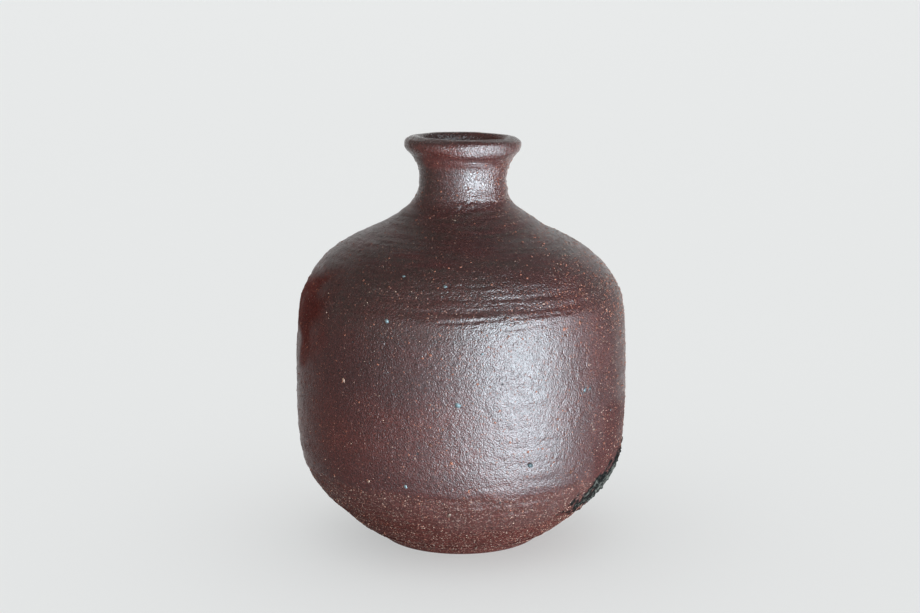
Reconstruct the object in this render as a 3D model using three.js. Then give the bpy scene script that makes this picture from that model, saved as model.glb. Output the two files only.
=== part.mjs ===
// Sake bottle (tokkuri): a squat flask of dark red stoneware, thrown on a wheel.
//
// Millimetres, +Z up. The origin is the centre of the flat base, on the surface it stands on.
// The pot is hollow and open at the mouth. It is described as the stretches that a potter
// names, stacked face to face on level planes: base, lower wall, belly, shoulder, neck, lip.

import * as THREE from 'three';

// ---- Driving dimensions ----------------------------------------------------------------

const BASE_RADIUS = 24;      // flat disc that the bottle stands on
const BELLY_RADIUS = 50;     // widest part of the body, outside
const WAIST_RADIUS = 12.85;  // narrowest part of the neck, outside
const BORE_RADIUS = 8.9;     // narrowest part of the neck, inside
const BELLY_WALL = 4.5;      // wall thickness at the widest part
const LIP_RADIUS = 17.25;    // widest part of the lip, outside
const LIP_CREST = 14.05;     // radius of the circle along the top of the lip
const MOUTH_RADIUS = 12.4;   // where the rolled edge turns down into the bore
const LIP_RISE = 1.7;        // how far the crest stands above the widest part of the lip

// Levels where one stretch of the wall ends and the next begins
const FLOOR_Z = 5.5;         // floor of the hollow
const TRIM_Z = 24.5;         // upper edge of the pared foot
const GROOVE_Z = 75.5;       // throwing groove between belly and shoulder
const NECK_Z = 101.25;       // ring at the root of the neck
const COLLAR_Z = 116.5;      // where the neck flares into the lip
const LIP_Z = 120.25;        // widest part of the lip; the top is LIP_RISE above it

const SIDES = 48;            // facets around the bottle
const STEPS = 2;             // straight lines between two stations of an outline
const LIP_STEPS = 8;         // straight lines over the rolled edge

// ---- Outlines: stations from the bottom up, as [radius, height] --------------------------

const OUTSIDE = outline([
  [BASE_RADIUS, 0],
  [26.8, 2.3],
  [32.0, FLOOR_Z],
  [37.7, 10.5],
  [43.4, 16.3],
  [48.0, TRIM_Z],
  [49.6, 34],
  [BELLY_RADIUS, 48],
  [49.6, 64],
  [48.2, GROOVE_Z],
  [44.3, 82.4],
  [38.4, 88.2],
  [32.1, 92.0],
  [25.8, 94.9],
  [20.5, 98.0],
  [16.2, NECK_Z],
  [14.0, 103.8],
  [13.1, 106.5],
  [WAIST_RADIUS, 110],
  [13.6, 113.5],
  [15.3, COLLAR_Z],
  [16.75, 118],
  [17.2, 119],
  [LIP_RADIUS, LIP_Z],
]);

const INSIDE = outline([
  [22.0, FLOOR_Z],
  [29.5, 9.6],
  [35.3, 14.6],
  [40.0, 19.4],
  [43.1, TRIM_Z],
  [45.0, 34],
  [BELLY_RADIUS - BELLY_WALL, 48],
  [45.2, 64],
  [43.2, GROOVE_Z],
  [38.6, 82.2],
  [31.8, 87.4],
  [23.5, 91.8],
  [15.9, 96.1],
  [11.2, NECK_Z],
  [9.4, 106],
  [BORE_RADIUS, 110],
  [9.6, 113.5],
  [10.9, COLLAR_Z],
  [11.9, 118.8],
  [MOUTH_RADIUS, LIP_Z],
]);

/** A smooth curve through the stations, which knows the height of each. */
function outline(stations) {
  const points = stations.map(([radius, height]) => new THREE.Vector3(radius, height, 0));
  return { curve: new THREE.CatmullRomCurve3(points, false, 'centripetal'), points };
}

/** The points of an outline from one station's height up to another's. */
function stretch({ curve, points }, fromZ, toZ) {
  const first = points.findIndex((point) => point.y === fromZ);
  const last = points.findIndex((point) => point.y === toZ);
  const spans = points.length - 1;
  const steps = (last - first) * STEPS;
  return Array.from({ length: steps + 1 }, (_, step) => {
    const { x, y } = curve.getPoint((first + step / STEPS) / spans);
    return new THREE.Vector2(x, y);
  });
}

// ---- Sections ----------------------------------------------------------------------------

/** The solid floor of the pot, up to the level of the hollow's floor. */
function baseProfile() {
  const side = stretch(OUTSIDE, 0, FLOOR_Z);
  return [new THREE.Vector2(0, 0), ...side, new THREE.Vector2(0, FLOOR_Z)];
}

/** A ring of the wall between two levels, with a level face at each end. */
function wallProfile(fromZ, toZ) {
  const outer = stretch(OUTSIDE, fromZ, toZ);
  const inner = stretch(INSIDE, fromZ, toZ).reverse();
  return [...outer, ...inner, outer[0].clone()];
}

/** The flare above the collar, closed over the top by the rolled edge. */
function lipProfile() {
  const outer = stretch(OUTSIDE, COLLAR_Z, LIP_Z);
  const inner = stretch(INSIDE, COLLAR_Z, LIP_Z).reverse();
  const roll = Array.from({ length: LIP_STEPS - 1 }, (_, step) => {
    const angle = (Math.PI * (step + 1)) / LIP_STEPS;
    const reach = Math.cos(angle) > 0 ? LIP_RADIUS - LIP_CREST : LIP_CREST - MOUTH_RADIUS;
    return new THREE.Vector2(
      LIP_CREST + reach * Math.cos(angle),
      LIP_Z + LIP_RISE * Math.sin(angle),
    );
  });
  return [...outer, ...roll, ...inner, outer[0].clone()];
}

/** A named piece turned about the bottle's axis from its profile. */
function turned(name, profile, finish) {
  const geometry = new THREE.LatheGeometry(profile, SIDES);
  const mesh = new THREE.Mesh(geometry, new THREE.MeshStandardMaterial(finish));
  mesh.name = name;
  mesh.rotation.x = Math.PI / 2; // the lathe turns about +Y, the bottle stands along +Z
  return mesh;
}

// ---- Assembly ----------------------------------------------------------------------------

const bottle = new THREE.Group();
bottle.name = 'sake_bottle';
bottle.add(
  turned('base', baseProfile(), { color: 0x5e3a33, roughness: 0.7, metalness: 0 }),
  turned('lower_wall', wallProfile(FLOOR_Z, TRIM_Z), { color: 0x58342f, roughness: 0.6, metalness: 0 }),
  turned('belly', wallProfile(TRIM_Z, GROOVE_Z), { color: 0x502e2c, roughness: 0.45, metalness: 0 }),
  turned('shoulder', wallProfile(GROOVE_Z, NECK_Z), { color: 0x452d2a, roughness: 0.45, metalness: 0 }),
  turned('neck', wallProfile(NECK_Z, COLLAR_Z), { color: 0x553330, roughness: 0.4, metalness: 0 }),
  turned('lip', lipProfile(), { color: 0x503330, roughness: 0.4, metalness: 0 }),
);

export default bottle;
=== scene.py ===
"""Sake bottle: the looks of a hand-thrown stoneware flask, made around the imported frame.

Metres, +Z up, with the viewer on the -Y side. The wall is one continuous skin with real
relief. It is cut into the same stretches as the CAD nodes and replaces them one for one.
Angles round the pot are measured from the front (-Y), positive towards +X.
"""

import math
from types import SimpleNamespace

import bmesh
import bpy
import numpy as np
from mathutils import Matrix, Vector


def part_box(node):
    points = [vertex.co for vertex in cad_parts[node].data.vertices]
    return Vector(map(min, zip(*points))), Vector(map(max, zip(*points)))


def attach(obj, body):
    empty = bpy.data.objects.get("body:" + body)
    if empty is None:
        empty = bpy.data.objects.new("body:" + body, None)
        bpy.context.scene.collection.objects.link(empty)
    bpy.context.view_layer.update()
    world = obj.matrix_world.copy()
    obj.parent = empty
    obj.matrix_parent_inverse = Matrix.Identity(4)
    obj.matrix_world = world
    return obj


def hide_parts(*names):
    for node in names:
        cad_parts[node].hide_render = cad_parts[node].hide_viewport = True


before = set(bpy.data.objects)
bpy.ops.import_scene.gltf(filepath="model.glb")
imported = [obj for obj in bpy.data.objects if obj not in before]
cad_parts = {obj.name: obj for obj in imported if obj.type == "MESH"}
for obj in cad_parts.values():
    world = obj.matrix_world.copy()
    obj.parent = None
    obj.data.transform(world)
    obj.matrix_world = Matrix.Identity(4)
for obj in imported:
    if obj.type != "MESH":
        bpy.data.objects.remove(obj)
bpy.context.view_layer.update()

MM = 0.001
TAU = 2 * math.pi

# The stretches of the wall, from the bottom up. The name beside each is not used: all six share
# one material
SECTIONS = {
    "base": "foot_clay",
    "lower_wall": "foot_clay",
    "belly": "body_clay",
    "shoulder": "body_clay",
    "neck": "neck_clay",
    "lip": "neck_clay",
}

# How finely the skin is divided: columns round the pot, and steps along its outline
COLUMNS = 700
OUTSIDE_STEP = 0.46 * MM
LIP_STEP = 0.30 * MM
INSIDE_STEP = 2.2 * MM
UNDERSIDE_STEP = 0.6 * MM

# Where the outside's relief fades out: below a height just above the flat base, and between
# two rows counted from the crest of the lip down the mouth
STANDING_HEIGHT = 2.4 * MM
GRIT_START = 1.2 * MM                 # no grain or pit below this height
MOUTH_FADE = (4, 24)

# Where the surface changes, as heights above the base
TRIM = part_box("lower_wall")[1].z      # the edge that the paring tool left
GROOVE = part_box("belly")[1].z         # the deep throwing groove
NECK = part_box("shoulder")[1].z        # the ring at the root of the neck
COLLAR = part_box("neck")[1].z          # the underside of the lip

# Where the middle of each level lies, to the right of the axis: (height, offset) in mm
WANDER = [
    (0, 0.0), (62, 0.1), (76, 0.1), (84, -0.1), (91, -0.4), (95, -0.4), (96.5, 0.25),
    (99, 0.35), (103.5, 0.30), (106, 0.55), (114, 0.7), (122, 0.6),
]
MOUTH_TILT = math.radians(0.75)       # the mouth is lower on the right

# Throwing grooves: first and last angle in degrees, first and last height, depth and half
# width in mm
GROOVES = [
    (-9, 15, 74.7, 75.7, 0.26, 0.40),
    (15, 44, 75.7, 75.9, 0.20, 0.38),
    (6, 37, 72.1, 73.9, 0.15, 0.35),
    (9, 50, 80.9, 80.6, 0.16, 0.40),
    (-22, 13, 83.6, 83.8, 0.12, 0.45),
    (70, 150, 76.4, 77.6, 0.14, 0.45),
    (120, 230, 73.0, 74.8, 0.18, 0.42),
    (190, 300, 79.4, 81.0, 0.14, 0.45),
    (-95, -40, 78.2, 77.4, 0.10, 0.50),
    (100, 190, 60.5, 61.3, 0.08, 0.50),
    (-150, -60, 47.0, 48.1, 0.07, 0.60),
]

# The kiln scar, a crust where ash and charcoal lay against the pot
SCAR_ANGLE = math.radians(73)
SCAR_HEIGHT = 21.0 * MM
SCAR_WIDTH = 18.5 * MM
SCAR_RISE = 7.0 * MM

# Single grains and spots that stand out: angle in degrees, height and radius in mm
CREAM_GRAINS = [
    (-41.9, 56.3, 0.62), (49.8, 40.3, 0.50), (-32.4, 27.5, 0.50), (-4.1, 18.9, 0.60),
    (-27.1, 53.5, 0.30), (-24.0, 82.5, 0.30), (-36.0, 23.6, 0.34), (30.0, 79.0, 0.36),
    (47.0, 60.0, 0.34), (58.0, 52.0, 0.32), (44.0, 31.0, 0.34), (-6.0, 99.2, 0.34),
]
RUST_GRAINS = [
    (21.9, 37.8, 0.55), (-3.0, 35.5, 0.60), (-9.6, 40.3, 0.50), (39.7, 29.5, 0.60),
    (36.0, 71.5, 0.55), (43.0, 72.5, 0.50), (52.0, 70.0, 0.45), (12.0, 84.5, 0.50),
    (27.0, 85.5, 0.45), (-10.0, 66.0, 0.45), (5.0, 58.0, 0.40), (33.0, 46.0, 0.42),
]
ASH_SPOTS = [
    (-25.2, 74.6, 0.70), (-18.5, 27.7, 0.75), (22.9, 33.5, 0.85), (-1.1, 51.9, 0.90),
    (-22.7, 86.1, 0.55), (6.5, 66.5, 0.50), (44.5, 52.8, 0.60), (47.5, 53.0, 0.50),
    (-5.5, 84.0, 0.60), (61.0, 44.0, 0.45),
]
CRACK = (19.6, 27.5, 33.5)            # angle in degrees, lower and upper end in mm

# Nicks beside the root of the neck: angle in degrees, rise above the root, length, depth in mm
NICKS = [
    (-2.0, 0.8, 1.7, 0.28),
    (4.5, 1.6, 1.1, 0.22),
    (9.0, 2.3, 1.2, 0.18),
    (13.0, 0.7, 1.4, 0.16),
]

# How many grains of each kind there are, with their smallest and largest radius in mm
RUST_COUNT, RUST_RADII = 6500, (0.11, 0.36)
CREAM_COUNT, CREAM_RADII = 7500, (0.09, 0.24)
BURIED_COUNT, BURIED_RADII = 2600, (0.35, 0.75)
BURIED_RISES = (0.10, 0.07, -0.12)    # mm that one lifts the skin; a pit is below zero

FINGER_PITCH = 5.4 * MM               # from turn to turn of the thrower's fingers
WIRE_PITCH = 2.7 * MM                 # between the loops of the cutting wire


# ---- Easing -------------------------------------------------------------------------------


def smoothstep(low, high, value):
    """0 below low and 1 above high, eased between. With low above high it falls instead."""
    t = np.clip((value - low) / (high - low), 0, 1)
    return t * t * (3 - 2 * t)


def between(start, full, fading, end, value):
    """1 from full to fading, eased down to 0 at start and at end."""
    return smoothstep(start, full, value) * smoothstep(end, fading, value)


# ---- Outline ------------------------------------------------------------------------------

LEVEL_LIMIT = 0.05                    # a face that leans out or in by less counts as level
SAME_POINT = 0.02 * MM                # points closer together than this are one point


def wall_corners(node, side):
    """(radius, height) of the corners of a node's faces that look out (1) or in (-1).

    Level faces look neither way. Corners are the same if they agree to a micrometre.
    """
    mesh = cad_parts[node].data
    picked = set()
    for face in mesh.polygons:
        outwards = face.normal.x * face.center.x + face.normal.y * face.center.y
        if side * outwards > LEVEL_LIMIT * math.hypot(face.center.x, face.center.y):
            picked.update(face.vertices)
    corners = {
        (round(math.hypot(v.co.x, v.co.y), 6), round(v.co.z, 6))
        for v in (mesh.vertices[i] for i in picked)
    }
    return sorted(corners, key=lambda corner: corner[1])


def joined(stretches):
    """Stretches of points end to end, each without the point where it meets the one before."""
    points = []
    for stretch in stretches:
        points += [p for p in stretch if not points or math.dist(p, points[-1]) > SAME_POINT]
    return np.array(points)


def meridian():
    """The pot's outline in (radius, height), from under the base over the lip to the floor."""
    outside = joined([wall_corners(name, 1) for name in SECTIONS])
    inside = joined([wall_corners(name, -1) for name in list(SECTIONS)[1:]])
    foot, floor_edge = outside[0], inside[0]
    under = [(foot[0] * share, foot[1]) for share in (0.0, 0.3, 0.6, 0.9)]
    floor = [(floor_edge[0] * share, floor_edge[1]) for share in (0.9, 0.6, 0.3, 0.0)]
    return joined([under, outside, inside[::-1], floor])


def smooth_path(points, stops, steps):
    """Rows along a smooth curve through the points, from stop to stop, each at its own step.

    Returns the rows and the row number of each stop.
    """
    at = np.concatenate(([0], np.cumsum(np.hypot(*np.diff(points, axis=0).T))))
    slope = np.gradient(points, at, axis=0)
    places, numbers = [at[stops[0]]], [0]
    for start, end, step in zip(stops, stops[1:], steps):
        count = max(2, round((at[end] - at[start]) / step))
        places += list(np.linspace(at[start], at[end], count + 1)[1:])
        numbers.append(len(places) - 1)
    places = np.array(places)
    span = np.clip(np.searchsorted(at, places, side="right") - 1, 0, len(at) - 2)
    gap = (at[span + 1] - at[span])[:, None]
    t = (places - at[span])[:, None] / gap
    rows = (
        (2 * t**3 - 3 * t**2 + 1) * points[span]
        + (t**3 - 2 * t**2 + t) * gap * slope[span]
        + (3 * t**2 - 2 * t**3) * points[span + 1]
        + (t**3 - t**2) * gap * slope[span + 1]
    )
    return rows, numbers


class Wall:
    """The whole skin as a grid: one row for each step of the outline, one column per angle."""

    def __init__(self):
        self.cuts = [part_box(name)[1].z for name in list(SECTIONS)[:-1]]
        rows, self.stops = self.outline_rows()
        crest = int(np.argmax(rows[:, 1]))
        row = np.arange(len(rows))[:, None]
        self.radius = np.maximum(rows[:, :1], 0)
        self.height = rows[:, 1:]
        self.angle = (np.arange(COLUMNS) * TAU / COLUMNS - math.pi)[None, :]

        # How far a relief of 1 moves a point out and up, and how far along the outline it lies
        along = np.gradient(rows, axis=0)
        along /= np.maximum(np.hypot(*along.T), 1e-9)[:, None]
        self.out = along[:, 1:]
        self.up = -along[:, :1]
        strides = np.hypot(*np.diff(rows, axis=0).T)
        self.length = np.concatenate(([0], np.cumsum(strides)))[:, None]

        # Masks of the outside, of what lies just above the flat base, and of its underside
        self.outside = smoothstep(crest + MOUTH_FADE[1], crest + MOUTH_FADE[0], row)
        low = smoothstep(STANDING_HEIGHT, 0.0, self.height)
        self.standing = np.where(row < crest, low, 0.0)
        self.underneath = np.where(row < crest, smoothstep(0.3 * MM, 0.1 * MM, self.height), 0)
        self.foot = int(np.argmax(rows[:, 1] > GRIT_START))
        self.points = self.place(np.zeros((len(rows), COLUMNS)))

    def outline_rows(self):
        """Rows along the outline, which stop at each cut on the way up and on the way down."""
        points = meridian()
        top = int(np.argmax(points[:, 1]))
        outer = [int(np.argmin(np.abs(points[:top, 1] - z))) for z in self.cuts]
        inner = [top + int(np.argmin(np.abs(points[top:, 1] - z))) for z in self.cuts[::-1]]
        stops = [0, *outer, *inner, len(points) - 1]
        walls = len(self.cuts) - 1
        steps = [UNDERSIDE_STEP] + [OUTSIDE_STEP] * walls + [LIP_STEP]
        steps += [LIP_STEP * 2] + [INSIDE_STEP] * walls
        return smooth_path(points, stops, steps)

    def place(self, relief):
        """The grid's points with each moved outwards by its relief."""
        radius = self.radius + relief * self.out
        height = self.height + relief * self.up
        levels, offsets = np.transpose(WANDER) * MM
        x = radius * np.sin(self.angle) + np.interp(height, levels, offsets)
        y = -radius * np.cos(self.angle)
        tilt = math.tan(MOUTH_TILT) * smoothstep(NECK, COLLAR, self.height)
        return np.stack((x, y, height - tilt * x), axis=-1)

    def row_at(self, height):
        """The outside row nearest to a height."""
        first, last = self.stops[1], self.stops[len(self.cuts)]
        return first + int(np.argmin(np.abs(self.height[first:last, 0] - height)))


# ---- Relief -------------------------------------------------------------------------------


def waves(points, wavelength, seed, count=28):
    """Smooth random bumps of about one wavelength and unit strength, the same on every run."""
    random = np.random.default_rng(seed)
    directions = random.normal(size=(count, 3))
    directions /= np.linalg.norm(directions, axis=1)[:, None]
    lengths = wavelength * random.uniform(0.75, 1.45, count)
    phases = random.uniform(0, TAU, count)
    total = np.zeros(points.shape[:-1])
    for direction, length, phase in zip(directions, lengths, phases):
        total += np.cos(points @ (direction * TAU / length) + phase)
    return total * math.sqrt(2 / count)


def streaks(wall, wavelength, seed, stretch=9):
    """Bumps drawn out along the turning, as a finger or a rib leaves them."""
    x, y = wall.points[..., 0], wall.points[..., 1]
    length = np.broadcast_to(wall.length, x.shape)
    lines = np.stack((x / stretch, y / stretch, length), axis=-1)
    return waves(lines, wavelength, seed)


def from_angle(wall, centre):
    """Signed angle from a centre, the short way round."""
    return (wall.angle - centre + math.pi) % TAU - math.pi


def throwing_relief(wall):
    """The slow spiral ridge of the thrower's fingers, and the fine lines between its turns."""
    spiral = np.sin(TAU * wall.length / FINGER_PITCH - wall.angle)
    strength = 0.5 + 0.35 * waves(wall.points, 26 * MM, 11)
    smoothed = smoothstep(GROOVE - 4 * MM, GROOVE + 6 * MM, wall.height)
    lines = (0.016 + 0.022 * smoothed) * streaks(wall, 1.5 * MM, 12)
    return (0.055 * strength * spiral + lines) * MM


def groove_relief(wall):
    """The separate grooves where a fingertip or a grain of sand dragged in the clay."""
    relief = np.zeros(wall.points.shape[:2])
    ragged = waves(wall.points, 2.4 * MM, 21)
    for first, last, low, high, depth, width in GROOVES:
        middle, reach = math.radians((first + last) / 2), math.radians((last - first) / 2)
        share = from_angle(wall, middle) / reach
        line = ((low + high) / 2 + (high - low) / 2 * share) * MM
        away = (wall.height - line) / (width * MM)
        fade = smoothstep(1.0, 0.75, np.abs(share) + 0.06 * ragged)
        lip = np.exp(-((away + 1.7) ** 2)) + np.exp(-((away - 1.7) ** 2))
        relief -= depth * fade * (np.exp(-(away**2)) * (1 + 0.25 * ragged) - 0.22 * lip)
    return relief * MM


def pared_mask(wall):
    """1 on the foot that was pared with a tool, 0 on the thrown skin above its ragged edge."""
    ragged = 0.28 * waves(wall.points, 9 * MM, 31) + 0.30 * waves(wall.points, 2.5 * MM, 32)
    edge = TRIM + ragged * MM
    soft = 0.5 * MM
    pared = smoothstep(edge + soft, edge - soft, wall.height)
    return pared * wall.outside


def foot_relief(wall, pared):
    """The pared foot: cut a little deeper than the skin, and dragged by the tool."""
    drag = 0.05 * streaks(wall, 1.9 * MM, 33, stretch=6)
    drag = drag + 0.035 * waves(wall.points, 1.3 * MM, 34)
    chatter = 0.05 * waves(wall.points, 7 * MM, 35)
    cut = 0.12 * smoothstep(3 * MM, 18 * MM, wall.height)
    return pared * (drag + chatter - cut) * MM


def underside_relief(wall):
    """The loops that the twisted cutting wire left under the base, all inside the flat."""
    x, y = wall.points[..., 0], wall.points[..., 1]
    swing = np.hypot(x + 13 * MM, (y - 4 * MM) * 1.15)
    swing = swing + 0.3 * MM * waves(wall.points, 14 * MM, 41)
    loops = 0.5 + 0.5 * np.sin(TAU * swing / WIRE_PITCH)
    return -0.16 * MM * wall.underneath * loops * smoothstep(1.0, 0.9, wall.radius / (23.5 * MM))


def skin_relief(wall):
    """The pebbled skin: soft lumps of about one and three millimetres."""
    quiet = 1 - 0.45 * smoothstep(GROOVE, GROOVE + 8 * MM, wall.height)
    lumps = 0.015 * waves(wall.points, 1.3 * MM, 51) + 0.010 * waves(wall.points, 2.6 * MM, 52)
    wobble = 0.03 * waves(wall.points, 42 * MM, 53) + 0.03 * waves(wall.points, 17 * MM, 54)
    return (lumps * quiet + wobble) * MM


def shoulder_relief(wall):
    """The turn into the shoulder: fallen in at the left and in front, swollen at the right."""
    height, degrees = wall.height / MM, np.degrees(wall.angle)
    front = between(-170, -130, 35, 80, degrees)
    left = between(-170, -130, -60, -35, degrees)
    right = between(50, 75, 130, 170, degrees)
    above = between(75.5, 78, 80, 85, height)
    below = between(60, 64, 76, 80, height)
    swell = np.exp(-(((height - 82.5) / 2.2) ** 2))
    return (0.16 * right * swell - 0.42 * front * above - 0.28 * left * below) * MM


def neck_relief(wall):
    """The ring where the neck was drawn up from the shoulder, and the nicks beside it."""
    away = (wall.height - NECK) / (0.7 * MM)
    broken = 0.6 + 0.4 * waves(wall.points, 6 * MM, 61)
    furrow, ridge = np.exp(-(away**2)), np.exp(-((away - 1.9) ** 2))
    relief = broken * (0.10 * ridge - 0.16 * furrow)
    swell = smoothstep(NECK + 1 * MM, NECK + 4 * MM, wall.height)
    relief = relief + 0.20 * swell * smoothstep(121.5 * MM, 119.5 * MM, wall.height)
    for angle, rise, length, depth in NICKS:
        across = from_angle(wall, math.radians(angle)) * wall.radius / MM
        above = (wall.height - NECK) / MM - rise
        along, off = across * 0.78 + above * 0.62, above * 0.78 - across * 0.62
        relief = relief - depth * np.exp(-((2 * along / length) ** 4) - (off / 0.34) ** 2)
    return relief * MM


def lip_relief(wall):
    """The underside of the lip, left a little fuller at the front than at the sides."""
    degrees = np.degrees(wall.angle)
    front = between(-25, 5, 45, 75, degrees)
    return 0.38 * MM * front * np.exp(-(((wall.height / MM - 117.4) / 0.9) ** 2))


def crack_relief(wall):
    """The hairline crack above the pared edge, on the right."""
    angle, low, high = CRACK
    wander = 0.25 * MM * waves(wall.points, 3 * MM, 62)
    across = from_angle(wall, math.radians(angle)) * wall.radius + wander
    length = between(low - 1, low, high, high + 1, wall.height / MM)
    return -0.16 * MM * length * np.exp(-((across / (0.3 * MM)) ** 2))


def scar_depth(wall):
    """How far inside the kiln scar, which rises to the right: 0 on its ragged edge, 1 inmost."""
    across = from_angle(wall, SCAR_ANGLE) * wall.radius / SCAR_WIDTH
    rise = (wall.height - SCAR_HEIGHT) / SCAR_RISE
    away = np.hypot(across, rise - 0.45 * across)
    ragged = 0.16 * waves(wall.points, 5 * MM, 71) + 0.08 * waves(wall.points, 1.8 * MM, 72)
    return 1 - away - ragged


def scar_relief(wall, scar):
    """The flaky crust of the scar, which stands up from the skin."""
    crust = 0.20 + 0.16 * waves(wall.points, 2.6 * MM, 73)
    crust = crust + 0.11 * waves(wall.points, 1.4 * MM, 74)
    return scar * crust * MM


def grit_relief(wall):
    """Grains just under the skin, and pits where a grain fell out, spread evenly over it."""
    random = np.random.default_rng(81)
    relief = np.zeros(wall.points.shape[:2])
    first, last = wall.foot, wall.stops[len(wall.cuts) + 1]
    strides = np.gradient(wall.length[first:last, 0])
    share = wall.radius[first:last, 0] * strides
    rows = random.choice(np.arange(first, last), BURIED_COUNT, p=share / share.sum())
    columns = random.integers(0, COLUMNS, BURIED_COUNT)
    sizes = random.uniform(*BURIED_RADII, BURIED_COUNT) * MM
    rises = random.choice(BURIED_RISES, BURIED_COUNT)
    heights = rises * random.uniform(0.4, 1.3, BURIED_COUNT) * MM
    for row, column, size, height in zip(rows, columns, sizes, heights):
        reach = int(2.2 * size / OUTSIDE_STEP) + 1
        width = wall.radius[row, 0] * TAU / COLUMNS
        sweep = int(2.2 * size / width) + 1
        near = np.arange(row - reach, row + reach + 1)
        across = np.arange(-sweep, sweep + 1)
        up = (wall.length[near, 0] - wall.length[row, 0])[:, None] / size
        swell = np.exp(-(up**2) - (across * width / size)[None, :] ** 2)
        relief[np.ix_(near, (column + across) % COLUMNS)] += height * swell
    return relief


def bottle_relief(wall, pared, scar):
    """All the relief: the outside above the flat base, soft turns inside, the base's loops."""
    outer = (
        throwing_relief(wall)
        + groove_relief(wall)
        + skin_relief(wall)
        + shoulder_relief(wall)
        + neck_relief(wall)
        + lip_relief(wall)
        + crack_relief(wall)
        + foot_relief(wall, pared)
        + scar_relief(wall, scar)
        + grit_relief(wall)
    )
    inner = 0.10 * MM * np.sin(TAU * wall.length / (6 * MM) - wall.angle)
    side = wall.outside * (1 - wall.standing)
    return outer * side + inner * (1 - wall.outside) + underside_relief(wall)


# ---- Colour zones -------------------------------------------------------------------------


def colour_zones(wall, pared, scar):
    """How red, how ashy, how scarred and how bare the clay is at each point of the grid."""
    height, degrees = wall.height / MM, np.degrees(wall.angle)
    neck_foot = NECK / MM
    drift = 0.5 + 0.28 * waves(wall.points, 30 * MM, 91) + 0.18 * waves(wall.points, 11 * MM, 92)
    lines = 0.35 * streaks(wall, 2.2 * MM, 93)

    # The parts of the pot that differ in colour
    shoulder = smoothstep(86, 92, height + 3 * drift)
    shoulder = shoulder * smoothstep(neck_foot + 2, neck_foot - 2, height)
    band = between(66, 72, 85, 90, height) * smoothstep(30, 0, degrees)
    neck = smoothstep(neck_foot, neck_foot + 4, height)
    low = smoothstep(62, 36, height)
    left, right = smoothstep(-15, -60, degrees), between(0, 45, 120, 170, degrees)
    lip = between(112, 114.5, 119, 121, height)
    under_lip = lip * between(-62, -45, -10, 10, degrees)
    flank, inside = flank_patch(wall), 1 - wall.outside

    # Red low down (most on the left), on the neck and lip, the flank patch and the pared foot
    red = 0.35 * drift + low * (0.15 + 0.35 * left) * (1 - 0.6 * right)
    red = red + 0.28 * neck + 0.3 * lip + 0.4 * flank + 0.6 * under_lip + 0.3 * pared

    # Ash on the shoulder, the left of the neck, the band above the belly, and in thin drifts
    ash = shoulder * (0.70 - 0.25 * right + lines) + 0.45 * neck * left + 0.45 * band
    ash = ash + 0.30 * (1 - drift) * (1 - shoulder) * smoothstep(40, 70, height)
    ash = ash * (1 - flank) * (1 - under_lip) * (1 - 0.8 * pared)

    zones = (red * (1 - inside), ash * (1 - inside), scar, np.maximum(pared, inside))
    return np.clip(np.stack(zones, axis=-1), 0, 1)


def flank_patch(wall):
    """1 on the smooth maroon patch high on the left flank, where no ash settled."""
    height, degrees = wall.height / MM, np.degrees(wall.angle)
    ragged = 4 * waves(wall.points, 12 * MM, 94)
    patch = smoothstep(-49, -67, degrees + ragged) * smoothstep(-165, -100, degrees)
    bottom = smoothstep(52, 65, height + ragged + np.clip(degrees + 67, -9, 0))
    return patch * bottom * smoothstep(84, 79, height - 0.15 * (degrees + 80))


def painted_shade_right(wall):
    """Where the right side is dulled as painted shade: strongly low down, and faintly above."""
    height, degrees = wall.height / MM, np.degrees(wall.angle)
    ragged = waves(wall.points, 14 * MM, 95)
    low = smoothstep(140, 95, degrees + 9 * ragged) * smoothstep(53, 35, height + 4 * ragged)
    high = smoothstep(67, 60, degrees) * smoothstep(80, 74, height)
    return smoothstep(46, 54, degrees + 2 * ragged) * np.maximum(0.75 * low, 0.42 * high)


def painted_shade_neck(wall):
    """Painted shade, as a duller neck: on its left, under the lip and, faintly, on the lip."""
    height, degrees = wall.height / MM, np.degrees(wall.angle)
    left = between(-60, -45, -6, 8, degrees)
    under_lip = smoothstep(113, 114.5, height) * smoothstep(50, 35, degrees)
    neck = between(102, 105, 116, 118, height) * (0.50 * left + 0.30 * under_lip)
    lip = 0.14 * smoothstep(116, 117.5, height) * smoothstep(-20, 5, degrees)
    return np.maximum(neck, lip)


def dry_foot(wall, pared):
    """How dry the pared foot is: fully so low down, with a soft shine above, most in front."""
    height, degrees = wall.height / MM, np.degrees(wall.angle)
    front = between(-14, 2, 33, 45, degrees)
    shine = 0.92 * front * smoothstep(9, 19, height)
    shine = shine + 0.55 * (1 - front) * smoothstep(12, 24, height)
    return pared * (0.96 - shine)


def finish_zones(wall, pared, scar, depth):
    """How dull the skin is, how sandy, how far inside the pot it lies, and how crusty it is."""
    inside = np.broadcast_to(1 - wall.outside, pared.shape)
    # the neck patch lowers the gloss as painted shade
    # the right-side patch lowers the gloss as painted shade
    patches = (flank_patch(wall), painted_shade_right(wall), painted_shade_neck(wall), dry_foot(wall, pared))
    dull = np.max((*patches, 0.95 * scar, inside), axis=0)
    crust = smoothstep(0.25, 0.50, depth) * scar
    return np.clip(np.stack((dull, pared * wall.outside, inside, crust), axis=-1), 0, 1)


# ---- Skin ---------------------------------------------------------------------------------


def grid_normals(points):
    """The smooth normal at each point of a grid that closes on itself from side to side."""
    along = np.gradient(points, axis=0)
    around = np.roll(points, -1, axis=1) - np.roll(points, 1, axis=1)
    normals = np.cross(around, along)
    lengths = np.linalg.norm(normals, axis=-1, keepdims=True)
    return normals / np.maximum(lengths, 1e-15)


def section_rows(wall, index):
    """The row numbers of a section: up its outside, then down its inside."""
    lower, upper = wall.stops[index], wall.stops[index + 1]
    outer = list(range(lower, upper + 1))
    if index == len(wall.cuts):
        return outer
    mirror = len(wall.stops) - 2 - index
    return outer + list(range(wall.stops[mirror], wall.stops[mirror + 1] + 1))


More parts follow.
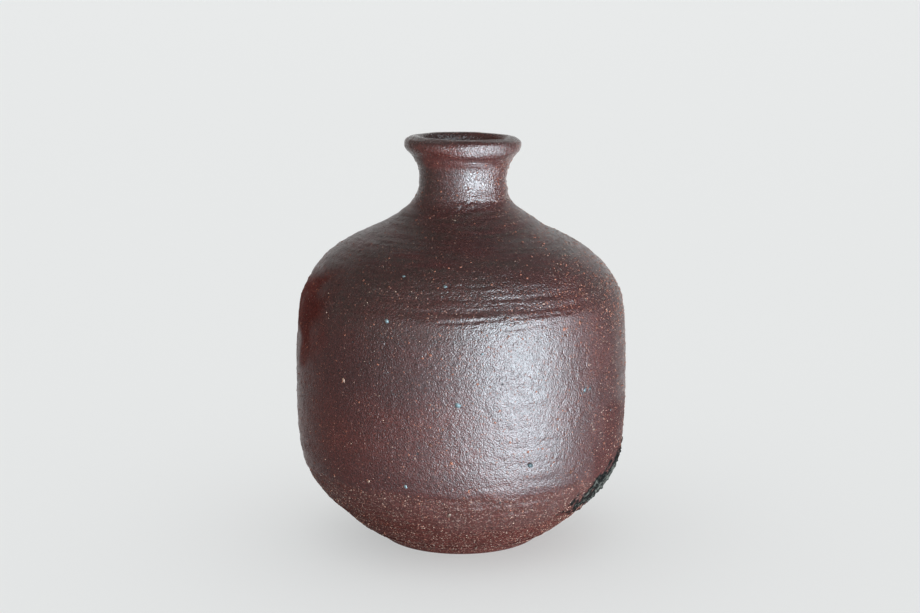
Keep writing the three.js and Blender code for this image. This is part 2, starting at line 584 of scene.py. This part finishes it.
def paint(mesh, name, colours):
    """Gives each corner of the mesh its value of a named colour attribute."""
    layer = mesh.color_attributes.new(name, "FLOAT_COLOR", "POINT")
    layer.data.foreach_set("color", colours.ravel())


def ring_faces(count, closed):
    """Four-sided faces between rings of COLUMNS corners, one above the other."""
    column = np.arange(COLUMNS)
    after = (column + 1) % COLUMNS
    pairs = [(k, k + 1) for k in range(count - 1)]
    if closed:
        pairs.append((count - 1, 0))
    faces = []
    for low, high in pairs:
        below, above = low * COLUMNS, high * COLUMNS
        quads = (below + column, below + after, above + after, above + column)
        faces += np.column_stack(quads).tolist()
    return faces


def pole_faces(count):
    """Triangles that close the first and the last of the rings at a point each."""
    column = np.arange(COLUMNS)
    after = (column + 1) % COLUMNS
    lower, upper = count * COLUMNS, count * COLUMNS + 1
    final = lower - COLUMNS
    faces = [(b, a, lower) for a, b in zip(column, after)]
    return faces + [(final + a, final + b, upper) for a, b in zip(column, after)]


def section_mesh(wall, grids, name, index):
    """A closed solid of one stretch of the wall, with the whole skin's normals and zones."""
    numbers = section_rows(wall, index)
    poles = index == 0
    rings = numbers[1:-1] if poles else numbers
    faces = ring_faces(len(rings), closed=not poles)
    corners, shading, zones, finish = (grid[rings].reshape(-1, grid.shape[-1]) for grid in grids)
    if poles:
        faces += pole_faces(len(rings))
        for row, up in ((numbers[0], -1), (numbers[-1], 1)):
            corners = np.vstack((corners, grids[0][row].mean(0)))
            shading = np.vstack((shading, (0, 0, up)))
            zones = np.vstack((zones, grids[2][row].mean(0)))
            finish = np.vstack((finish, grids[3][row].mean(0)))
    mesh = bpy.data.meshes.new(name)
    mesh.from_pydata(corners.tolist(), [], faces)
    mesh.shade_smooth()
    paint(mesh, "zones", zones)
    paint(mesh, "finish", finish)
    mesh.normals_split_custom_set_from_vertices(shading.tolist())
    return mesh


def add_skin():
    """The six stretches of the wall, each in the place of its CAD node, and the grit in them."""
    wall = Wall()
    pared, depth = pared_mask(wall), scar_depth(wall)
    scar = smoothstep(-0.08, 0.08, depth) * wall.outside
    points = wall.place(bottle_relief(wall, pared, scar))
    points[..., 2] = np.maximum(points[..., 2], 0)
    zones, finish = colour_zones(wall, pared, scar), finish_zones(wall, pared, scar, depth)
    grids = (points, grid_normals(points), zones, finish)
    material = clay_material()
    for index, (node, slot) in enumerate(SECTIONS.items()):
        name = f"clay_{node}"
        mesh = section_mesh(wall, grids, name, index)
        mesh.materials.append(material)
        piece = bpy.data.objects.new(name, mesh)
        bpy.context.scene.collection.objects.link(piece)
        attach(piece, "root")
        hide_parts(node)
    add_grit(wall, *grids[:2], pared, scar)


# ---- Grit ---------------------------------------------------------------------------------

LUMPINESS = (0.65, 1.2)   # how far a grain's corners are from its middle, in radii
STRETCH = (0.9, 1.5)      # how long a grain is for its width
MOSTLY_SMALL = 1.6        # the higher this is, the rarer the large grains are


def grain_form():
    """The corners and faces of a plain round grain of radius 1."""
    form = bmesh.new()
    bmesh.ops.create_icosphere(form, subdivisions=1, radius=1)
    corners = np.array([corner.co[:] for corner in form.verts])
    faces = np.array([[corner.index for corner in face.verts] for face in form.faces])
    form.free()
    return corners, faces


def scattered(wall, density, count, sizes, seed):
    """Random places on the outside, as thick as the density says: rows, columns, radii."""
    random = np.random.default_rng(seed)
    first, last = wall.foot, wall.stops[len(wall.cuts)]
    strides = np.gradient(wall.length[:, 0])[:, None]
    weight = (wall.radius * strides * density)[first:last]
    picked = random.choice(weight.size, count, p=weight.ravel() / weight.sum())
    rows, columns = np.unravel_index(picked, weight.shape)
    share = random.uniform(0, 1, count) ** MOSTLY_SMALL
    radii = sizes[0] * (sizes[1] / sizes[0]) ** share
    return np.stack((rows + first, columns, radii), axis=-1)


def placed(wall, spots):
    """The rows, columns and radii of spots given by angle, height and radius."""
    return [
        (wall.row_at(height * MM), round((angle / 360 + 0.5) * COLUMNS) % COLUMNS, radius)
        for angle, height, radius in spots
    ]


def grain_directions(spots, points, normals, random):
    """Where each grain sits, and its own three directions: two along the skin, and out."""
    rows, columns = spots[:, 0].astype(int), spots[:, 1].astype(int)
    at, out = points[rows, columns], normals[rows, columns]
    side = np.cross(out, (0, 0, 1))
    side /= np.linalg.norm(side, axis=1)[:, None]
    up = np.cross(side, out)
    turn = random.uniform(0, TAU, len(spots))[:, None]
    along = side * np.cos(turn) + up * np.sin(turn)
    across = up * np.cos(turn) - side * np.sin(turn)
    return at, along, across, out


def add_grains(name, spots, points, normals, material, flatness, seed):
    """One piece holding many small grains, each half sunk in the skin."""
    corners, faces = grain_form()
    random = np.random.default_rng(seed)
    spots = np.array(spots)
    count = len(spots)
    at, along, across, out = grain_directions(spots, points, normals, random)
    form = corners * random.uniform(*LUMPINESS, (count, len(corners), 1))
    form = form * (spots[:, 2] * MM)[:, None, None]
    stretch = random.uniform(*STRETCH, count)[:, None, None]
    body = form[..., :1] * stretch * along[:, None] + form[..., 1:2] * across[:, None]
    body = body + form[..., 2:] * flatness * out[:, None]
    grains = (at[:, None] + body).reshape(-1, 3)
    polygons = (faces[None] + len(corners) * np.arange(count)[:, None, None]).reshape(-1, 3)
    tints = np.repeat(random.uniform(0, 1, (count, 4)), len(corners), axis=0)
    mesh = bpy.data.meshes.new(name)
    mesh.from_pydata(grains.tolist(), [], polygons.tolist())
    mesh.shade_smooth()
    paint(mesh, "tint", tints)
    mesh.materials.append(material)
    piece = bpy.data.objects.new(name, mesh)
    bpy.context.scene.collection.objects.link(piece)
    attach(piece, "root")


def grit_densities(wall, pared, scar):
    """How thick the rust and the cream grains lie at each point of the grid."""
    degrees, height = np.degrees(wall.angle), wall.height / MM
    right = between(0, 50, 120, 170, degrees)
    band = between(66, 70, 80, 86, height)
    neck = smoothstep(103, 106, height) * (0.4 + 0.6 * smoothstep(-20, 30, degrees))
    flank = between(25, 60, 120, 170, degrees)
    rust = 0.30 + 2.0 * flank + 3.4 * right * band + 0.8 * neck + 0.4 * pared
    cream = 0.12 + 1.4 * flank + 1.8 * pared + 0.20 * band
    return rust * (1 - scar), cream * (1 - scar)


def add_grit(wall, points, normals, pared, scar):
    """The grit of the clay that shows at the surface, and small spots of ash glass."""
    rust, cream = grit_densities(wall, pared, scar)
    rust_spots = scattered(wall, rust, RUST_COUNT, RUST_RADII, seed=101)
    rust_spots = [*rust_spots, *placed(wall, RUST_GRAINS)]
    cream_spots = scattered(wall, cream, CREAM_COUNT, CREAM_RADII, seed=102)
    cream_spots = [*cream_spots, *placed(wall, CREAM_GRAINS)]
    grid = (points, normals)
    rusty = grain_material("grit_rust", RUST, roughness=0.6, warmth=0.5)
    add_grains("grit_rust", rust_spots, *grid, rusty, flatness=0.45, seed=103)
    creamy = grain_material("grit_cream", CREAM, roughness=0.6, warmth=0.5)
    add_grains("grit_cream", cream_spots, *grid, creamy, flatness=0.5, seed=104)
    ashen = grain_material("ash_glass", ASH_BLUE, roughness=0.40, warmth=0.05)
    ash_spots = placed(wall, ASH_SPOTS)
    add_grains("ash_spots", ash_spots, *grid, ashen, flatness=0.10, seed=105)


# ---- Materials ----------------------------------------------------------------------------

# Linear colours of the fired clay and of what is in it
MAROON = (0.0350, 0.0094, 0.0088)
RED = (0.066, 0.0150, 0.0115)
ASH = (0.0285, 0.0160, 0.0130)
BARE = (0.055, 0.0157, 0.0125)
CHARCOAL = (0.004, 0.004, 0.0036)
CRUST = (0.086, 0.086, 0.074)
RUST = (0.205, 0.075, 0.046)
SAND = (0.21, 0.120, 0.093)
CREAM = (0.34, 0.245, 0.19)
ASH_BLUE = (0.125, 0.175, 0.190)
INSIDE = (0.052, 0.040, 0.036)
# near black: painted shade inside the pits
PIT_SHADE = (0.008, 0.005, 0.005)

# The fired skin: its refractive index, and its fine relief in mm
GLAZE_INDEX = 1.75
PEBBLE_SIZE = 1 / 2.1
PEBBLE_HEIGHT = 0.105
RIPPLE_HEIGHT = 0.14
SPECK_HEIGHT = 0.07
PIT_DEPTH = 0.07
SMOOTHEST_ACROSS = 10.0   # the skin is smoothest this far to the right of the axis

# Its gloss: roughness and specular level, with what the neck and the dull patches change
SKIN_ROUGHNESS = (0.29, 0.39)
NECK_ROUGHER, DULL_ROUGHER = -0.10, 0.35
DRY_ROUGHNESS = 0.8
SKIN_SHINE = 0.5
NECK_SHINIER, DULL_SHINIER = 0.27, -0.47


class Nodes:
    """Adds shader nodes to a material's tree. A socket is set by a value or by a link."""

    def __init__(self, material):
        material.use_nodes = True
        self.tree = material.node_tree
        self.shader = self.tree.nodes["Principled BSDF"]

    def place(self):
        """The place on the object, in millimetres."""
        metres = self.add("TexCoord").outputs["Object"]
        return self.add("VectorMath", metres, (1 / MM,) * 3, operation="MULTIPLY").outputs[0]

    def add(self, kind, *values, **settings):
        """A new node with these settings, and these values in its first sockets."""
        node = self.tree.nodes.new("ShaderNode" + kind)
        for name, value in settings.items():
            setattr(node, name, value)
        for socket, value in zip(node.inputs, values):
            self.fill(socket, value)
        return node

    def fill(self, socket, value):
        """Sets a socket to a plain value, or links another node's output to it."""
        if isinstance(value, bpy.types.NodeSocket):
            self.tree.links.new(value, socket)
        else:
            is_colour = socket.type == "RGBA" and len(value) == 3
            socket.default_value = (*value, 1) if is_colour else value

    def math(self, operation, *values):
        """The result of one step of arithmetic."""
        return self.add("Math", *values, operation=operation).outputs[0]

    def ramp(self, value, low, high, to_low=0.0, to_high=1.0):
        """The value eased from low..high to another range."""
        limits = (low, high, to_low, to_high)
        return self.add("MapRange", value, *limits, interpolation_type="SMOOTHSTEP").outputs[0]

    def blend(self, share, first, second):
        """A colour between two, by a share from 0 to 1."""
        node = self.add("Mix", data_type="RGBA")
        self.fill(node.inputs[0], share)
        self.fill(node.inputs[6], first)
        self.fill(node.inputs[7], second)
        return node.outputs[2]

    def scaled(self, colour, factor):
        """A colour made lighter or darker by a factor."""
        node = self.add("VectorMath", colour, operation="SCALE")
        self.fill(node.inputs["Scale"], factor)
        return node.outputs[0]

    def noise(self, place, scale, detail=2.0, roughness=0.5):
        """Smooth noise about 0.5, with so many waves to the millimetre."""
        node = self.add("TexNoise", place)
        node.inputs["Scale"].default_value = scale
        node.inputs["Detail"].default_value = detail
        node.inputs["Roughness"].default_value = roughness
        return node.outputs["Fac"]

    def spread(self, noise, low, high):
        """The usual range of a noise, 0.3 to 0.7, eased over low to high."""
        return self.ramp(noise, 0.3, 0.7, low, high)

    def specks(self, place, cell, share, radius):
        """A mask of round grains: one in each cell of this size, in a share of the cells."""
        node = self.add("TexVoronoi", place)
        node.inputs["Scale"].default_value = 1 / cell
        chance = self.add("SeparateColor", node.outputs["Color"])
        present = self.math("GREATER_THAN", chance.outputs[0], 1 - share)
        size = self.math("MULTIPLY_ADD", chance.outputs[1], radius / cell, 0.4 * radius / cell)
        edge = self.math("SUBTRACT", size, node.outputs["Distance"])
        grain = self.ramp(edge, 0.0, 0.25 * radius / cell)
        return self.math("MULTIPLY", grain, present)

    def any_of(self, *masks):
        """The strongest of the masks at each place."""
        total = masks[0]
        for mask in masks[1:]:
            total = self.math("MAXIMUM", total, mask)
        return total


def clay_masks(nodes, place):
    """What the clay is like at each place: its painted zones, its specks, and where it lies."""
    zones = nodes.add("Attribute", attribute_name="zones")
    red, ash, scar = nodes.add("SeparateColor", zones.outputs["Color"]).outputs
    finish = nodes.add("Attribute", attribute_name="finish")
    dull, sandy, inside = nodes.add("SeparateColor", finish.outputs["Color"]).outputs
    across, _, level = nodes.add("SeparateXYZ", place).outputs
    sand = nodes.specks(place, cell=0.62, share=0.85, radius=0.19)
    return SimpleNamespace(
        red=red,
        ash=ash,
        scar=scar,
        bare=zones.outputs["Alpha"],
        dull=dull,
        inside=inside,
        crust=finish.outputs["Alpha"],
        rust=nodes.specks(place, cell=0.95, share=0.6, radius=0.20),
        sand=nodes.math("MULTIPLY", sand, sandy),
        pits=nodes.specks(place, cell=2.3, share=0.22, radius=0.26),
        across=across,
        level=level,
        neck=nodes.ramp(level, NECK / MM, NECK / MM + 4),
    )


def clay_colour(nodes, place, clay):
    """The zones' colours, mottled, with the specks, the pits' painted shade and the scar's
    crust.
    """
    blotch = nodes.ramp(nodes.noise(place, 0.22, 3.0), 0.35, 0.65)
    reddened = nodes.math("MULTIPLY", clay.red, nodes.ramp(blotch, 0, 1, 0.7, 1.0))
    colour = nodes.blend(reddened, MAROON, RED)
    colour = nodes.blend(nodes.math("MULTIPLY", clay.bare, 0.85), colour, BARE)
    dust = nodes.ramp(nodes.noise(place, 1.1, 4.0, 0.7), 0.36, 0.64, 0.35, 1.25)
    colour = nodes.blend(nodes.math("MULTIPLY", clay.ash, dust), colour, ASH)
    colour = nodes.blend(clay.inside, colour, INSIDE)
    mottle = nodes.spread(nodes.noise(place, 1.9, 4.0, 0.65), 0.50, 1.55)
    grain = nodes.spread(nodes.noise(place, 3.0, 1.0), 0.74, 1.26)
    colour = nodes.scaled(colour, nodes.math("MULTIPLY", mottle, grain))
    colour = nodes.blend(nodes.math("MULTIPLY", clay.rust, 0.6), colour, RUST)
    colour = nodes.blend(nodes.math("MULTIPLY", clay.sand, 0.7), colour, SAND)
    # the pits are painted near black, as painted shade
    colour = nodes.blend(clay.pits, colour, PIT_SHADE)
    flakes = nodes.ramp(nodes.noise(place, 1.3, 4.0, 0.75), 0.43, 0.57)
    crusty = nodes.blend(nodes.math("MULTIPLY", clay.crust, flakes), CHARCOAL, CRUST)
    return nodes.blend(clay.scar, colour, crusty)


def clay_gloss(nodes, place, clay):
    """Roughness and specular level: glossier on the neck, matt on dull skin and dry grit."""
    dry = nodes.any_of(nodes.math("MULTIPLY", clay.rust, 0.8), clay.sand, clay.pits, clay.scar)
    rough = nodes.spread(nodes.noise(place, 0.5, 3.0), *SKIN_ROUGHNESS)
    rough = nodes.math("MULTIPLY_ADD", clay.neck, NECK_ROUGHER, rough)
    rough = nodes.math("MULTIPLY_ADD", clay.dull, DULL_ROUGHER, rough)
    rough = nodes.math("MAXIMUM", rough, nodes.math("MULTIPLY", dry, DRY_ROUGHNESS))
    shine = nodes.math("MULTIPLY_ADD", clay.neck, NECK_SHINIER, SKIN_SHINE)
    shine = nodes.math("MULTIPLY_ADD", clay.dull, DULL_SHINIER, shine)
    return rough, shine


def clay_bump(nodes, place, clay):
    """Fine pebbles, coarser on the shoulder and round the sides, with specks and pits."""
    cells = nodes.add("TexVoronoi", place, feature="SMOOTH_F1")
    cells.inputs["Scale"].default_value = 1 / PEBBLE_SIZE
    cells.inputs["Smoothness"].default_value = 0.35
    away = cells.outputs["Distance"]
    pebbles = nodes.math("MULTIPLY", nodes.math("MULTIPLY", away, away), -PEBBLE_HEIGHT)
    fine = nodes.math("MULTIPLY_ADD", nodes.noise(place, 2.7, 2.0), RIPPLE_HEIGHT, pebbles)
    aside = nodes.math("ABSOLUTE", nodes.math("SUBTRACT", clay.across, SMOOTHEST_ACROSS))
    above = nodes.ramp(clay.level, 77, 86, 1.0, 1.5)
    coarse = nodes.math("MAXIMUM", above, nodes.ramp(aside, 20, 34, 1.0, 1.6))
    fine = nodes.math("MULTIPLY", fine, coarse)
    height = nodes.math("MULTIPLY_ADD", nodes.any_of(clay.rust, clay.sand), SPECK_HEIGHT, fine)
    height = nodes.math("MULTIPLY_ADD", clay.pits, -PIT_DEPTH, height)
    bump = nodes.add("Bump")
    nodes.fill(bump.inputs["Distance"], MM)
    nodes.fill(bump.inputs["Height"], height)
    return bump.outputs[0]


def clay_material():
    """Dark iron clay with a thin fired skin: mottled, flecked with grit, softly glossy."""
    material = bpy.data.materials.new("fired_clay")
    nodes = Nodes(material)
    place = nodes.place()
    clay = clay_masks(nodes, place)
    roughness, shine = clay_gloss(nodes, place, clay)
    shader = nodes.shader
    nodes.fill(shader.inputs["Base Color"], clay_colour(nodes, place, clay))
    nodes.fill(shader.inputs["Roughness"], roughness)
    nodes.fill(shader.inputs["IOR"], GLAZE_INDEX)
    nodes.fill(shader.inputs["Specular IOR Level"], shine)
    nodes.fill(shader.inputs["Normal"], clay_bump(nodes, place, clay))
    return material


def grain_material(name, colour, roughness, warmth):
    """Grit or ash of one colour, which differs a little and turns rusty from grain to grain."""
    material = bpy.data.materials.new(name)
    nodes = Nodes(material)
    place = nodes.place()
    layer = nodes.add("Attribute", attribute_name="tint")
    light, rusty, _ = nodes.add("SeparateColor", layer.outputs["Color"]).outputs
    stain = nodes.noise(place, 2.5, 3.0)
    lightness = nodes.ramp(light, 0, 1, 0.45, 1.25)
    shade = nodes.math("MULTIPLY", lightness, nodes.spread(stain, 0.7, 1.2))
    tinted = nodes.blend(nodes.math("MULTIPLY", rusty, warmth), colour, RUST)
    rough = nodes.spread(stain, roughness - 0.1, roughness + 0.15)
    bump = nodes.add("Bump")
    nodes.fill(bump.inputs["Distance"], MM)
    nodes.fill(bump.inputs["Height"], nodes.math("MULTIPLY", stain, 0.06))
    nodes.fill(nodes.shader.inputs["Base Color"], nodes.scaled(tinted, shade))
    nodes.fill(nodes.shader.inputs["Roughness"], rough)
    nodes.fill(nodes.shader.inputs["Normal"], bump.outputs[0])
    return material


# ---- Studio -------------------------------------------------------------------------------

# The camera, as worked out from the photo's outline of the bottle and the ellipse of its rim
CAMERA_ASIDE = -0.2 * MM
CAMERA_DISTANCE = 490 * MM
CAMERA_HEIGHT = 163.6 * MM
CAMERA_PITCH = math.radians(10.78)
CAMERA_LENS = 64.34

# The floor: an even glow, and a light of its own that gives the shadow at the base
FLOOR_HALF = 150.0                # metres, so that it runs to the horizon
FLOOR_DROP = 0.05 * MM
FLOOR_COLOUR = (0.35, 0.355, 0.355, 1)
FLOOR_GLOW = 0.465
FLOOR_LIGHT = 2.2
FLOOR_LIGHT_SPREAD = math.radians(140)

# The room: dim, with a bright patch behind the bottle that only the glaze sees
PALE = (0.98, 1.0, 1.0, 1)
HAZE = 0.80                       # what the camera sees above the floor
ROOM_DIM, ROOM_BRIGHT = 0.16, 1.0
BRIGHT_WAY = (0.05, 1.0, -0.12)   # towards the bright patch
BRIGHT_EDGE, BRIGHT_CORE = 0.66, 0.98

# Panels of light: azimuth and elevation in degrees and distance from AIM, width and height,
# power in watts, colour, and whether the glaze mirrors the panel
AIM = Vector((0, 0, 60 * MM))
DAYLIGHT = (0.78, 0.91, 1.0)
PANELS = {
    "window": (38.5, -10.5, 0.9, (0.89, 0.88), 24.5, DAYLIGHT, True),
    "sky": (38.5, 1, 0.9, (0.62, 0.36), 7, DAYLIGHT, True),
    "curtain": (-22, -9, 0.9, (0.56, 1.10), 2.0, (0.85, 0.93, 1.0), True),
    "rim": (157, 5, 1.2, (0.4, 1.2), 0.55, (0.95, 1.0, 1.0), True),
    "fill": (-70, 22, 1.2, (1.0, 1.0), 11, (1.0, 0.80, 0.70), False),
    "glow": (80, -15, 1.2, (0.8, 0.8), 3.0, (1.0, 0.70, 0.60), False),
    "back": (195, 20, 1.2, (1.2, 1.0), 20, (0.95, 0.98, 1.0), False),
}


def add_camera():
    """The camera in front of the bottle, looking slightly down at it."""
    data = bpy.data.cameras.new("camera")
    data.lens = CAMERA_LENS
    camera = bpy.data.objects.new("camera", data)
    camera.location = (CAMERA_ASIDE, -CAMERA_DISTANCE, CAMERA_HEIGHT)
    camera.rotation_euler = (math.pi / 2 - CAMERA_PITCH, 0, 0)
    bpy.context.scene.collection.objects.link(camera)
    bpy.context.scene.camera = camera


def add_floor():
    """A pale, softly lit floor that runs to the horizon. The bottle's surface doesn't see it."""
    half = FLOOR_HALF
    corners = [(-half, -half, 0), (half, -half, 0), (half, half, 0), (-half, half, 0)]
    mesh = bpy.data.meshes.new("floor")
    mesh.from_pydata(corners, [], [(0, 1, 2, 3)])
    floor = bpy.data.objects.new("floor", mesh)
    floor.location.z = -FLOOR_DROP
    material = bpy.data.materials.new("floor_paper")
    shader = Nodes(material).shader
    shader.inputs["Base Color"].default_value = FLOOR_COLOUR
    shader.inputs["Roughness"].default_value = 1.0
    shader.inputs["Emission Color"].default_value = PALE
    shader.inputs["Emission Strength"].default_value = FLOOR_GLOW
    mesh.materials.append(material)
    floor.visible_glossy = False
    floor.visible_diffuse = False
    floor.visible_shadow = False
    bpy.context.scene.collection.objects.link(floor)
    return floor


def lit_group(name, floor, state):
    """What a light falls on: the floor alone (INCLUDE), or all but the floor (EXCLUDE)."""
    group = bpy.data.collections.new(name)
    group.objects.link(floor)
    group.collection_objects[0].light_linking.link_state = state
    return group


def light_floor(floor):
    """An even light from the whole sky for the floor alone, with a soft shadow at the base."""
    data = bpy.data.lights.new("overcast", "SUN")
    data.energy = FLOOR_LIGHT
    data.angle = FLOOR_LIGHT_SPREAD
    overcast = bpy.data.objects.new("overcast", data)
    overcast.light_linking.receiver_collection = lit_group("floor_alone", floor, "INCLUDE")
    bpy.context.scene.collection.objects.link(overcast)


def add_panel(name, azimuth, elevation, distance, size, power, colour, mirrored, receivers):
    """A soft panel of light aimed at the bottle, placed by its angles seen from AIM."""
    data = bpy.data.lights.new(name, "AREA")
    data.shape = "RECTANGLE"
    data.size, data.size_y = size
    data.energy = power
    data.color = colour
    panel = bpy.data.objects.new(name, data)
    turn, tilt = math.radians(azimuth), math.radians(elevation)
    away = Vector((math.sin(turn), -math.cos(turn), math.tan(tilt))).normalized()
    panel.location = AIM + away * distance
    panel.rotation_euler = (-away).to_track_quat("-Z", "Y").to_euler()
    panel.visible_camera = False
    panel.visible_glossy = mirrored
    panel.light_linking.receiver_collection = receivers
    bpy.context.scene.collection.objects.link(panel)


def add_lights(floor):
    """The panels light all but the floor, since some of them reach below it."""
    light_floor(floor)
    others = lit_group("all_but_floor", floor, "EXCLUDE")
    for name, settings in PANELS.items():
        add_panel(name, *settings, others)


def add_world():
    """A dim room with its bright patch, which the camera sees as an even pale haze."""
    world = bpy.data.worlds.new("studio")
    world.use_nodes = True
    tree = world.node_tree
    background = tree.nodes["Background"]
    background.inputs["Color"].default_value = PALE
    coordinates = tree.nodes.new("ShaderNodeTexCoord")
    towards = tree.nodes.new("ShaderNodeVectorMath")
    towards.operation = "DOT_PRODUCT"
    towards.inputs[1].default_value = BRIGHT_WAY
    ramp = tree.nodes.new("ShaderNodeMapRange")
    ramp.inputs["From Min"].default_value = BRIGHT_EDGE
    ramp.inputs["From Max"].default_value = BRIGHT_CORE
    ramp.inputs["To Min"].default_value = ROOM_DIM
    ramp.inputs["To Max"].default_value = ROOM_BRIGHT
    path = tree.nodes.new("ShaderNodeLightPath")
    seen = tree.nodes.new("ShaderNodeMix")
    seen.inputs["B"].default_value = HAZE
    tree.links.new(coordinates.outputs["Generated"], towards.inputs[0])
    tree.links.new(towards.outputs["Value"], ramp.inputs["Value"])
    tree.links.new(path.outputs["Is Camera Ray"], seen.inputs["Factor"])
    tree.links.new(ramp.outputs[0], seen.inputs["A"])
    tree.links.new(seen.outputs["Result"], background.inputs["Strength"])
    bpy.context.scene.world = world


# ---- Making -------------------------------------------------------------------------------

add_camera()
add_lights(add_floor())
add_world()
add_skin()
bpy.context.scene.view_settings.view_transform = "Standard"
